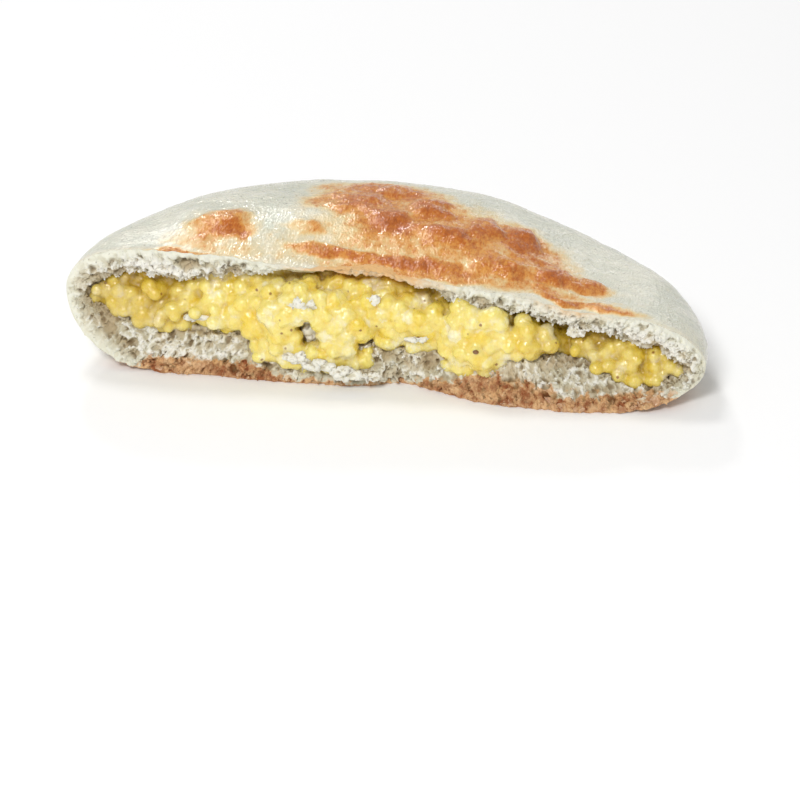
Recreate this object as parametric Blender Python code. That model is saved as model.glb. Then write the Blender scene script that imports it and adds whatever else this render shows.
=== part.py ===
"""Half of a filled barley flatbread, torn across its middle and lying flat on its griddled sole.

Two solids: the bread, a pouch of baked dough, and the layer of sticky cooked millet that runs through it and shows
at the torn face. The torn face looks along -Y, the round back along +Y, and X runs along the tear. The origin is on
the surface that the half lies on, under the middle of its box.
"""

import math
import random

import bmesh
import bpy
import numpy as np
from mathutils import Vector, noise
from mathutils.bvhtree import BVHTree

MM = 0.001

# The loaf before it was torn is a round cushion. These are its driving sizes.
RADIUS = 56.0 * MM
TEAR_Y = -25.2 * MM  # the tear's plane, through the middle of the round loaf
NOSE_LEFT = 14.6 * MM  # height of the widest line at each end of the tear
NOSE_RIGHT = 8.4 * MM
RIM_LEFT = 24.2 * MM  # height of the upper crust along the tear
RIM_RIGHT = 16.2 * MM
RIM_DIP = 1.6 * MM  # where the torn crust sinks
RIM_DIP_X = 36.0 * MM
RIM_DIP_RUN = 9.0 * MM
CROWN_RISE = 3.6 * MM  # the crown stands above the torn rim
CROWN_RUN = 20.0 * MM
CROWN_FALL = 3.2 * MM  # how much of that is lost on the right
CROWN_FALL_FROM = 6.0 * MM
CROWN_FALL_RUN = 26.0 * MM
SHOULDER_DENT = 1.5 * MM  # a thumb's dent in the left shoulder
SHOULDER_DENT_AT = (-44.0 * MM, 13.0 * MM)
SHOULDER_DENT_RUN = 8.0 * MM
SOLE_PRESS = 0.5 * MM  # how far the griddle flattened the sole

# Exponents of the cushion's profile: (1 - r**full) ** (1 / blunt).
RIM_FULL_LEFT = 8.0
RIM_FULL_RIGHT = 6.0
CROWN_FULL = 3.3
ROOF_BLUNT = 1.75
SOLE_FULL = 7.0
SOLE_BLUNT = 2.0

# Blisters where the crown browned on the griddle.
BLISTER_HEIGHT = 0.9 * MM
BLISTER_SIZE = 6.0 * MM
BLISTER_AT = (12.0 * MM, 20.0 * MM)
BLISTER_RUN = (27.0 * MM, 17.0 * MM)

# The tear: the lower crust reaches out past the upper one, furthest in a flap on the right.
RIM_BACK = 0.8 * MM
LIP = 1.4 * MM
FLAP = 4.2 * MM
FLAP_X = 31.0 * MM
FLAP_RUN = 17.0 * MM
NOTCH = 3.4 * MM  # where the sole tore further back
NOTCH_X = 4.5 * MM
NOTCH_RUN = 6.0 * MM
SHIFT_RUN = 11.0 * MM  # how far back the crust follows the lip
RAGGED = 0.6 * MM
CRAG = 0.9 * MM  # relief of the torn crumb
CRAG_SIZE = 3.2 * MM

# The pocket that the filling lies in. Each table gives heights along the tear: x, z.
END_WALL = 4.0 * MM
BACK_WALL = 8.0 * MM
POCKET_TOP = (
    (-52.0 * MM, 18.0 * MM),
    (-44.0 * MM, 18.6 * MM),
    (-36.0 * MM, 16.9 * MM),
    (-22.0 * MM, 18.6 * MM),
    (3.0 * MM, 18.2 * MM),
    (11.0 * MM, 16.2 * MM),
    (24.0 * MM, 15.4 * MM),
    (31.0 * MM, 13.2 * MM),
    (52.0 * MM, 10.4 * MM),
)
POCKET_SOLE = (
    (-52.0 * MM, 9.0 * MM),
    (-40.0 * MM, 7.8 * MM),
    (-26.0 * MM, 8.2 * MM),
    (4.0 * MM, 7.4 * MM),
    (24.0 * MM, 8.6 * MM),
    (36.0 * MM, 6.8 * MM),
    (44.0 * MM, 3.2 * MM),
    (52.0 * MM, 3.0 * MM),
)
POCKET_FULL = 8.0
POCKET_BLUNT = 2.0
MOUTH_RECESS = 0.8 * MM
GAP = 0.45 * MM  # between the filling and the bread

# The filling and its grains.
FILLING_FRONT = 1.4 * MM  # how far its face bulges out of the mouth
TONGUES = (  # lumps of filling that hang over the lower crumb: x, z, half width, half height
    (-12.6 * MM, 8.8 * MM, 11.2 * MM, 7.4 * MM),
    (15.6 * MM, 8.6 * MM, 6.8 * MM, 6.4 * MM),
)
TONGUE_THICK = 2.6 * MM  # from its middle to its front
TONGUE_LEAST = 0.35  # the least share of that thickness where the crumb pushes it forward
GRAIN = 2.5 * MM
GRAIN_PITCH = 3.0 * MM
GRAIN_JITTER = 0.45 * MM
GRAIN_PROUD = 0.15  # share of its radius that a grain's centre stands above the surface
SMALLEST_GRAIN = 0.62  # beside the crumb, as a share of a whole one

# How finely the solids are divided.
AROUND = 116
CRUST_RINGS = 15
FACE_RINGS = 6
POCKET_RINGS = 5
CORE_AROUND = 52
CORE_RINGS = 5
CORE_FACE = (0.35, 0.7, 0.92)  # rings of the filling's face, as shares of its outline
DENSE = 400


def clear_scene():
    for obj in list(bpy.data.objects):
        bpy.data.objects.remove(obj)


def smooth_step(t):
    t = min(max(t, 0.0), 1.0)
    return t * t * (3 - 2 * t)


def hill(t, run):
    return math.exp(-((t / run) ** 2))


def along(x, left, right):
    """A size that changes evenly from the left end of the tear to the right end."""
    return left + (right - left) * (x / RADIUS + 1) / 2


def profile(r, full, blunt):
    """The cushion's height at a share r of its radius, as a share of its full height."""
    return max(0.0, 1 - min(r, 1.0) ** full) ** (1 / blunt)


def nose_height(x):
    return along(x, NOSE_LEFT, NOSE_RIGHT)


def blisters(x, y):
    """Soft lumps on the browned part of the crown."""
    away = math.hypot((x - BLISTER_AT[0]) / BLISTER_RUN[0], (y - BLISTER_AT[1]) / BLISTER_RUN[1])
    lump = noise.noise(Vector((x, y, 0.02)) / BLISTER_SIZE)
    return BLISTER_HEIGHT * smooth_step(1.6 - away) * (0.35 + lump)


def roof(x, y):
    """Height of the upper crust. Here y runs back from the tear."""
    r = math.hypot(x, y) / RADIUS
    back = smooth_step(y / CROWN_RUN)
    rim = along(x, RIM_LEFT, RIM_RIGHT) - RIM_DIP * hill(x - RIM_DIP_X, RIM_DIP_RUN)
    crown = rim + back * (CROWN_RISE - CROWN_FALL * smooth_step((x - CROWN_FALL_FROM) / CROWN_FALL_RUN))
    rim_full = along(x, RIM_FULL_LEFT, RIM_FULL_RIGHT)
    full = rim_full + (CROWN_FULL - rim_full) * back
    dent_from = math.hypot(x - SHOULDER_DENT_AT[0], y - SHOULDER_DENT_AT[1])
    height = profile(r, full, ROOF_BLUNT)
    relief = blisters(x, y) - SHOULDER_DENT * hill(dent_from, SHOULDER_DENT_RUN)
    return nose_height(x) + (crown - nose_height(x)) * height + relief * height


def sole(x, y):
    """Height of the underside, pressed flat at 0 where the bread lies."""
    r = math.hypot(x, y) / RADIUS
    height = nose_height(x) * (1 - profile(r, SOLE_FULL, SOLE_BLUNT))
    return max(0.0, height - SOLE_PRESS)


def pocket_share(x, y):
    """How far a place in the pocket is from its middle, 1 at its side wall."""
    half = RADIUS - END_WALL
    deep = RADIUS - BACK_WALL
    return math.hypot(x / half, y / deep)


def from_table(table, x):
    """The table's height at x, easing from one entry to the next."""
    for (x0, z0), (x1, z1) in zip(table, table[1:]):
        if x <= x1:
            return z0 + (z1 - z0) * smooth_step((x - x0) / (x1 - x0))
    return table[-1][1]


def pocket_middle(x):
    return (from_table(POCKET_TOP, x) + from_table(POCKET_SOLE, x)) / 2


def pocket_roof(x, y):
    middle = pocket_middle(x)
    return middle + (from_table(POCKET_TOP, x) - middle) * profile(pocket_share(x, y), POCKET_FULL, POCKET_BLUNT)


def pocket_sole(x, y):
    middle = pocket_middle(x)
    return middle + (from_table(POCKET_SOLE, x) - middle) * profile(pocket_share(x, y), POCKET_FULL, POCKET_BLUNT)


def ring(y, half_width, upper, lower, count):
    """Points of a closed section at depth y: from the left nose over the top to the right nose, and back below."""
    turn = np.linspace(0, math.pi, DENSE)
    xs = -half_width * np.cos(turn)
    points = []
    for side, ordered in ((upper, xs), (lower, xs[::-1])):
        line = np.array([(x, side(x, y)) for x in ordered])
        line[0, 1] = line[-1, 1] = 0  # both ends are set to the nose below
        line[0, 1] = (upper(line[0, 0], y) + lower(line[0, 0], y)) / 2
        line[-1, 1] = (upper(line[-1, 0], y) + lower(line[-1, 0], y)) / 2
        run = np.concatenate([[0], np.cumsum(np.hypot(*np.diff(line, axis=0).T))])
        at = np.linspace(0, run[-1], count // 2, endpoint=False)
        x_at = np.interp(at, run, line[:, 0])
        z_at = np.interp(at, run, line[:, 1])
        points += [Vector((x, y, z)) for x, z in zip(x_at, z_at)]
    return points


def rough(point, size, seed):
    """Smooth noise from -1 to 1 that changes over a given size."""
    return noise.noise(point / size + Vector((seed, 0, 0)))


def tear_shift(point):
    """How far the torn edge lies from the tear's plane: the lower crust reaches forward, and both are ragged."""
    low = 1 - smooth_step(point.z / nose_height(point.x))
    inner = smooth_step((RADIUS - abs(point.x)) / (8 * MM))
    reach = LIP + FLAP * hill(point.x - FLAP_X, FLAP_RUN) - NOTCH * hill(point.x - NOTCH_X, NOTCH_RUN)
    return inner * (RIM_BACK * (1 - low) - reach * low + RAGGED * rough(point, 5 * MM, 3.1))


def crust_rings():
    """The outer skin, from the torn rim to the back."""
    rings = []
    for k in range(CRUST_RINGS):
        turn = math.pi / 2 * k / CRUST_RINGS
        y = RADIUS * math.sin(turn)
        points = ring(y, RADIUS * math.cos(turn), roof, sole, AROUND)
        follow = max(0.0, 1 - y / SHIFT_RUN) ** 2
        for point in points:
            point.y += tear_shift(point) * follow
        rings.append(points)
    return rings


def pocket_rings():
    """The pocket's wall, from its mouth to its back."""
    rings = []
    start = math.asin(MOUTH_RECESS / (RADIUS - BACK_WALL))
    for k in range(POCKET_RINGS):
        turn = start + (math.pi / 2 - start) * k / POCKET_RINGS
        half = (RADIUS - END_WALL) * math.cos(turn)
        rings.append(ring((RADIUS - BACK_WALL) * math.sin(turn), half, pocket_roof, pocket_sole, AROUND))
    return rings


def face_rings(rim, mouth):
    """The torn crumb between the crust's rim and the pocket's mouth, with its crags."""
    rings = []
    for k in range(1, FACE_RINGS):
        share = k / FACE_RINGS
        points = []
        for outer, inner in zip(rim, mouth):
            point = outer.lerp(inner, share)
            fade = math.sin(math.pi * share) ** 0.5
            wide = min(1.0, (outer - inner).length / (3 * MM))
            crag = rough(point, CRAG_SIZE, 7.7) + 0.5 * rough(point, CRAG_SIZE / 2, 1.3)
            point.y -= CRAG * fade * wide * crag
            points.append(point)
        rings.append(points)
    return rings


def loft(rings, first_pole, last_pole):
    """A closed bmesh through the rings, ending in a point before the first ring and one after the last."""
    bm = bmesh.new()
    loops = [[bm.verts.new(point) for point in points] for points in rings]
    for one, two in zip(loops, loops[1:]):
        for i, corner in enumerate(one):
            j = (i + 1) % len(one)
            bm.faces.new((corner, one[j], two[j], two[i]))
    for loop, pole, step in ((loops[0], first_pole, -1), (loops[-1], last_pole, 1)):
        tip = bm.verts.new(pole)
        for i, corner in enumerate(loop):
            neighbour = loop[(i + 1) % len(loop)]
            bm.faces.new((corner, neighbour, tip)[::step])
    bmesh.ops.translate(bm, verts=bm.verts, vec=(0, TEAR_Y, 0))
    bmesh.ops.triangulate(bm, faces=bm.faces)
    bmesh.ops.recalc_face_normals(bm, faces=bm.faces)
    return bm


def finished(name, bm, material):
    """A smooth-shaded object of the bmesh, in its material."""
    mesh = bpy.data.meshes.new(name)
    bm.to_mesh(mesh)
    bm.free()
    mesh.materials.append(material)
    mesh.shade_smooth()
    mesh.set_sharp_from_angle(angle=math.radians(50))
    obj = bpy.data.objects.new(name, mesh)
    bpy.context.scene.collection.objects.link(obj)
    return obj


def material_of(name, colour, roughness):
    material = bpy.data.materials.new(name)
    material.use_nodes = True
    shader = material.node_tree.nodes["Principled BSDF"]
    shader.inputs["Base Color"].default_value = (*colour, 1)
    shader.inputs["Roughness"].default_value = roughness
    shader.inputs["Metallic"].default_value = 0
    return material


def make_bread(material):
    crust = crust_rings()
    pocket = pocket_rings()
    face = face_rings(crust[0], pocket[0])
    rings = crust[::-1] + face + pocket
    back = Vector((0, RADIUS, nose_height(0)))
    pocket_back = Vector((0, RADIUS - BACK_WALL, pocket_middle(0)))
    return finished("bread", loft(rings, back, pocket_back), material)


def core_rings():
    """The filling's own body, a little smaller than the pocket, with a face that bulges from the mouth."""

    def top(x, y):
        return max(pocket_middle(x), pocket_roof(x, y) - GAP)

    def bottom(x, y):
        return min(pocket_middle(x), pocket_sole(x, y) + GAP)

    half = RADIUS - END_WALL - GAP
    deep = RADIUS - BACK_WALL - GAP
    start = math.asin(MOUTH_RECESS / deep)
    body = []
    for k in range(CORE_RINGS):
        turn = start + (math.pi / 2 - start) * k / CORE_RINGS
        body.append(ring(deep * math.sin(turn), half * math.cos(turn), top, bottom, CORE_AROUND))
    mouth = body[0]
    face = []
    for share in CORE_FACE:
        points = []
        for point in mouth:
            middle = Vector((point.x * 0.9, 0, pocket_middle(point.x * 0.9)))
            out = (MOUTH_RECESS + FILLING_FRONT) * (1 - share**3)
            place = middle.lerp(point, share)
            points.append(Vector((place.x, MOUTH_RECESS - out, place.z)))
        face.append(points)
    return face + body


def stood_clear(bm, middle_y, bread_tree):
    """Moves a lump's vertices forward until the bread's face is clear behind them, and keeps the lump's thickness."""
    for vert in bm.verts:
        start = Vector((vert.co.x, -2 * RADIUS, vert.co.z))
        hit = bread_tree.ray_cast(start, Vector((0, 1, 0)))[0]
        if hit is not None and hit.y < TEAR_Y + MOUTH_RECESS:
            ahead = (middle_y + TONGUE_THICK - vert.co.y) * TONGUE_LEAST
            vert.co.y = min(vert.co.y, hit.y - 2 * GAP - ahead)


def tongue(place, bread_tree):
    """A lump of filling that hangs out of the mouth over the lower crumb."""
    x, z, half_width, half_height = place
    bm = bmesh.new()
    bmesh.ops.create_icosphere(bm, subdivisions=3, radius=1)
    bmesh.ops.scale(bm, verts=bm.verts, vec=(half_width, TONGUE_THICK, half_height))
    middle_y = TEAR_Y - TONGUE_THICK * 0.6
    bmesh.ops.translate(bm, verts=bm.verts, vec=(x, middle_y, z))
    stood_clear(bm, middle_y, bread_tree)
    return bm


def grain(at, size, rng):
    """One cooked grain, a squashed ball with few sides."""
    bm = bmesh.new()
    bmesh.ops.create_icosphere(bm, subdivisions=1, radius=GRAIN / 2)
    bmesh.ops.scale(bm, verts=bm.verts, vec=[size * rng.uniform(0.85, 1.15) for _ in range(3)])
    spin = noise.random_unit_vector()
    turn = Vector((0, 0, 1)).rotation_difference(spin).to_matrix()
    bmesh.ops.rotate(bm, verts=bm.verts, matrix=turn, cent=(0, 0, 0))
    bmesh.ops.translate(bm, verts=bm.verts, vec=at)
    return bm


def tree_of(bms):
    """A search tree over several bmeshes at once."""
    joined = bmesh.new()
    for bm in bms:
        mesh = bpy.data.meshes.new("joined")
        bm.to_mesh(mesh)
        joined.from_mesh(mesh)
        bpy.data.meshes.remove(mesh)
    found = BVHTree.FromBMesh(joined)
    joined.free()
    return found


def grain_places(front_tree, bread_tree, rng):
    """Centres and sizes of the grains that show, in staggered rows over the filling's face, clear of the bread."""
    places = []
    rows = int(RIM_LEFT / (GRAIN_PITCH * 0.87))
    columns = int(2 * RADIUS / GRAIN_PITCH)
    for row in range(rows):
        for column in range(columns):
            x = -RADIUS + (column + 0.5 * (row % 2)) * GRAIN_PITCH + rng.uniform(-1, 1) * GRAIN_JITTER
            z = row * GRAIN_PITCH * 0.87 + rng.uniform(-1, 1) * GRAIN_JITTER
            hit, normal = front_tree.ray_cast(Vector((x, -2 * RADIUS, z)), Vector((0, 1, 0)))[:2]
            if hit is None or normal.y > -0.2 or hit.y > TEAR_Y + MOUTH_RECESS:
                continue
            at = hit + normal * GRAIN / 2 * GRAIN_PROUD
            size = min(1.0, (bread_tree.find_nearest(at)[3] - GAP) / (GRAIN / 2 * 1.15))
            if size > SMALLEST_GRAIN:
                places.append((at, size))
    return places


def largest_island(bm):
    """Removes every shell but the largest: loose scraps, and the walls of pockets that the union sealed."""
    unseen = set(bm.verts)
    islands = []
    while unseen:
        island = set()
        edge = [unseen.pop()]
        while edge:
            vert = edge.pop()
            island.add(vert)
            near = {link.other_vert(vert) for link in vert.link_edges} & unseen
            unseen -= near
            edge += near
        islands.append(island)
    islands.sort(key=len)
    scraps = [vert for island in islands[:-1] for vert in island]
    bmesh.ops.delete(bm, geom=scraps, context="VERTS")


def make_filling(material, bread):
    """The millet: a core, the lumps that hang out of it, and the grains that show, as one solid."""
    rng = random.Random(11)
    noise.seed_set(11)
    view = bpy.context.evaluated_depsgraph_get()
    bread_tree = BVHTree.FromObject(bread, view)
    rings = core_rings()
    front = Vector((0, -FILLING_FRONT, pocket_middle(0)))
    back = Vector((0, RADIUS - BACK_WALL - GAP, pocket_middle(0)))
    core = loft(rings, front, back)
    tongues = [tongue(place, bread_tree) for place in TONGUES]
    front_tree = tree_of([core, *tongues])
    grains = [grain(at, size, rng) for at, size in grain_places(front_tree, bread_tree, rng)]

    filling = finished("filling", core, material)
    heap = bpy.data.collections.new("heap")
    bpy.context.scene.collection.children.link(heap)
    for index, bm in enumerate(tongues + grains):
        lump = finished(f"lump_{index}", bm, material)
        bpy.context.scene.collection.objects.unlink(lump)
        heap.objects.link(lump)
    union = filling.modifiers.new("union", "BOOLEAN")
    union.operation = "UNION"
    union.operand_type = "COLLECTION"
    union.collection = heap
    union.solver = "MANIFOLD"
    bpy.context.view_layer.update()
    view = bpy.context.evaluated_depsgraph_get()
    joined = bmesh.new()
    joined.from_mesh(filling.evaluated_get(view).to_mesh())
    filling.modifiers.clear()
    largest_island(joined)
    bmesh.ops.triangulate(joined, faces=joined.faces)
    joined.to_mesh(filling.data)
    joined.free()
    for lump in list(heap.objects):
        bpy.data.objects.remove(lump)
    bpy.data.collections.remove(heap)
    return filling


clear_scene()
dough = material_of("baked barley dough", (0.60, 0.58, 0.46), 0.6)
millet = material_of("cooked millet", (0.86, 0.66, 0.16), 0.35)
bread_object = make_bread(dough)
make_filling(millet, bread_object)
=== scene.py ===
import math
import random

import bmesh
import bpy
import numpy as np
from mathutils import Matrix, Vector, kdtree, noise


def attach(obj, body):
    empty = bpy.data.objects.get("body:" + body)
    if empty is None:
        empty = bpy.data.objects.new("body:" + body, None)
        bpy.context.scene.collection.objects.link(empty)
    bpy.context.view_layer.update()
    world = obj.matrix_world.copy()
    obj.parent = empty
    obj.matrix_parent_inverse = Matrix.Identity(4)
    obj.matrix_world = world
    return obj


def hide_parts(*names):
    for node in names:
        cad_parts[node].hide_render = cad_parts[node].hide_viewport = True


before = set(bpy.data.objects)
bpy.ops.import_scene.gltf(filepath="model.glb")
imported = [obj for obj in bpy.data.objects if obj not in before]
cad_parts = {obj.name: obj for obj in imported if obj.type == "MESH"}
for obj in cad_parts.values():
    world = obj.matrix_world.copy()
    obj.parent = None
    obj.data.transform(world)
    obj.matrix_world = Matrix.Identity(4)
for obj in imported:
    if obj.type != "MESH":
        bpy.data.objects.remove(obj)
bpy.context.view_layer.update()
mm = 0.001
floorGap = 0.02  # the lowest that the loaf reaches

# The loaf before it was torn. Heights and widths in millimetres, y runs back from the tear.
loaf = {
    "radius": 56.0,
    "tearY": -25.2,  # where the tear stands in the finished frame
    "nose": (14.6, 8.4),  # widest line, left end and right end of the tear
    "rim": (24.2, 16.2),
    "rimDip": (36.0, 9.0, 1.6),  # x, run, depth
    "crownRise": 3.6,
    "crownRun": 20.0,
    "crownFall": (6.0, 26.0, 3.2),  # from x, run, depth
    "dent": (-44.0, 13.0, 8.0, 1.5),  # x, y, run, depth
    "rimFull": (8.0, 6.0),
    "crownFull": 3.3,
    "roofBlunt": 1.75,
    "soleFull": 7.0,
    "solePress": 0.5,
}


def smoothStep(t):
    t = np.clip(t, 0, 1)
    return t * t * (3 - 2 * t)


def hill(t, run):
    return np.exp(-((t / run) ** 2))


def along(x, ends):
    return ends[0] + (ends[1] - ends[0]) * (x / loaf["radius"] + 1) / 2


def profile(r, full, blunt):
    return np.maximum(0, 1 - np.minimum(r, 1) ** full) ** (1 / blunt)


def noseHeight(x):
    return along(x, loaf["nose"])


def roof(x, y):
    r = np.hypot(x, y) / loaf["radius"]
    back = smoothStep(y / loaf["crownRun"])
    dipX, dipRun, dip = loaf["rimDip"]
    fallX, fallRun, fall = loaf["crownFall"]
    dentX, dentY, dentRun, dent = loaf["dent"]
    rim = along(x, loaf["rim"]) - dip * hill(x - dipX, dipRun)
    crown = rim + back * (loaf["crownRise"] - fall * smoothStep((x - fallX) / fallRun))
    rimFull = along(x, loaf["rimFull"])
    height = profile(r, rimFull + (loaf["crownFull"] - rimFull) * back, loaf["roofBlunt"])
    pressed = dent * hill(np.hypot(x - dentX, y - dentY), dentRun)
    return noseHeight(x) + (crown - noseHeight(x) - pressed) * height


def sole(x, y):
    r = np.hypot(x, y) / loaf["radius"]
    return np.maximum(0.05, noseHeight(x) * (1 - profile(r, loaf["soleFull"], 2)) - loaf["solePress"])


# The pocket that the filling lies in: its roof and floor along the tear, x and height.
pocket = {
    "endWall": 4.0,
    "backWall": 8.0,
    "mouthBack": 0.8,
    "full": 8.0,
    "roof": (
        (-52, 18.0), (-44, 18.6), (-36, 16.9), (-24, 18.6), (-16, 20.3), (-7, 20.6), (0, 20.5), (6, 18.7),
        (14, 15.4), (24, 15.2), (31, 13.2), (52, 10.4),
    ),
    "floor": ((-52, 9.0), (-40, 7.8), (-26, 8.2), (4, 7.4), (24, 8.6), (36, 6.8), (44, 3.2), (52, 3.0)),
}


def eased(table, x):
    xs = np.array([row[0] for row in table], float)
    heights = np.array([row[1] for row in table], float)
    cell = np.clip(np.searchsorted(xs, x) - 1, 0, len(xs) - 2)
    share = smoothStep((x - xs[cell]) / (xs[cell + 1] - xs[cell]))
    return heights[cell] + (heights[cell + 1] - heights[cell]) * share


def pocketShape(x, y):
    share = np.hypot(x / (loaf["radius"] - pocket["endWall"]), y / (loaf["radius"] - pocket["backWall"]))
    return profile(share, pocket["full"], 2)


def pocketRoof(x, y):
    top, bottom = eased(pocket["roof"], x), eased(pocket["floor"], x)
    return (top + bottom) / 2 + (top - bottom) / 2 * pocketShape(x, y)


def pocketFloor(x, y):
    top, bottom = eased(pocket["roof"], x), eased(pocket["floor"], x)
    return (top + bottom) / 2 - (top - bottom) / 2 * pocketShape(x, y)


def section(y, halfWidth, upper, lower, count):
    # points round a slice at depth y, evenly spaced: left nose, over the top, right nose, back underneath
    ends = -halfWidth * np.cos(np.linspace(0, math.pi, 900))
    sides = []
    for side, xs in ((upper, ends), (lower, ends[::-1])):
        line = np.stack([xs, side(xs, y)], 1)
        for end in (0, -1):
            line[end, 1] = (upper(line[end, 0], y) + lower(line[end, 0], y)) / 2
        run = np.concatenate([[0], np.cumsum(np.hypot(*np.diff(line, axis=0).T))])
        at = np.linspace(0, run[-1], count // 2, endpoint=False)
        across, high = np.interp(at, run, line[:, 0]), np.interp(at, run, line[:, 1])
        sides.append(np.stack([across, np.full(len(at), y), high], 1))
    return np.concatenate(sides)


def gridOn(rows):
    # a flat grid whose points are moved onto the rows, its first and last columns welded
    count = len(rows[0])
    bm = bmesh.new()
    bmesh.ops.create_grid(bm, x_segments=count, y_segments=len(rows) - 1, size=1)
    for vert in bm.verts:
        column = round((vert.co.x + 1) / 2 * count) % count
        row = round((vert.co.y + 1) / 2 * (len(rows) - 1))
        vert.co = rows[row][column]
    bmesh.ops.remove_doubles(bm, verts=bm.verts, dist=1e-4)
    bmesh.ops.recalc_face_normals(bm, faces=bm.faces)
    bm.normal_update()
    return bm


def finished(name, bm, material, node=None):
    # millimetres on the loaf become metres in the frame
    bmesh.ops.scale(bm, verts=bm.verts, vec=(mm, mm, mm))
    bmesh.ops.translate(bm, verts=bm.verts, vec=(0, loaf["tearY"] * mm, 0))
    mesh = bpy.data.meshes.new(name)
    bm.to_mesh(mesh)
    bm.free()
    mesh.materials.append(material)
    mesh.shade_smooth()
    piece = bpy.data.objects.new(name, mesh)
    bpy.context.scene.collection.objects.link(piece)
    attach(piece, "root")
    if node:
        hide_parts(node)
    print(name, sum(len(face.vertices) - 2 for face in mesh.polygons), "triangles")
    return piece


def pourInto(bm, lot):
    # adds a small bmesh to a large one, whose own operators are slow
    mesh = bpy.data.meshes.new("lot")
    lot.to_mesh(mesh)
    lot.free()
    bm.from_mesh(mesh)
    bpy.data.meshes.remove(mesh)


def fractal(point, size, octaves=3, smooth=0.9):
    return noise.fractal(point / size, smooth, 2.1, octaves)


def ridges(point, size, octaves=4):
    # sharp threads between soft hollows, about 0 to 1
    return noise.ridged_multi_fractal(point / size, 0.9, 2.1, octaves, 1.0, 2.0) / 2


def nearest(line, places):
    # how far each place is from the nearest point of a line
    tree = kdtree.KDTree(len(line))
    for i, place in enumerate(line):
        tree.insert(Vector(place), i)
    tree.balance()
    return np.array([tree.find(Vector(place))[2] for place in places])


# How the torn edge wanders: the lower crust reaches forward, furthest in a flap on the right.
tear = {
    "rimBack": ((-56, 0.4), (-44, 0.2), (-14, 0.2), (-5, 3.8), (3, 2.4), (12, 0.8), (56, 0.8)),
    "lip": 1.4,
    "flap": (31.0, 17.0, 4.2),  # x, run, reach
    "notch": (4.5, 6.0, 3.4),
    "shiftRun": 11.0,
    "ragged": ((5.0, 0.8), (1.7, 0.5), (0.7, 0.3)),  # size, height
    "skin": 0.5,  # thickness of the crust's edge
}


def tearShift(places):
    x, z = places[:, 0], places[:, 2]
    low = 1 - smoothStep(z / noseHeight(x))
    inner = smoothStep((loaf["radius"] - np.abs(x)) / 8)
    flapX, flapRun, flap = tear["flap"]
    notchX, notchRun, notch = tear["notch"]
    reach = tear["lip"] + flap * hill(x - flapX, flapRun) - notch * hill(x - notchX, notchRun)
    flats = [Vector((a, 3.1, b)) for a, _, b in places]
    wander = sum(high * np.array([fractal(flat, size) for flat in flats]) for size, high in tear["ragged"])
    return inner * (eased(tear["rimBack"], x) * (1 - low) - reach * low + wander)


def crustRow(y, count):
    turn = math.asin(y / loaf["radius"])
    places = section(y, loaf["radius"] * math.cos(turn), roof, sole, count)
    follow = max(0.0, 1 - y / tear["shiftRun"]) ** 2
    if follow > 0:
        places[:, 1] += tearShift(places) * follow
    return places


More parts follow.
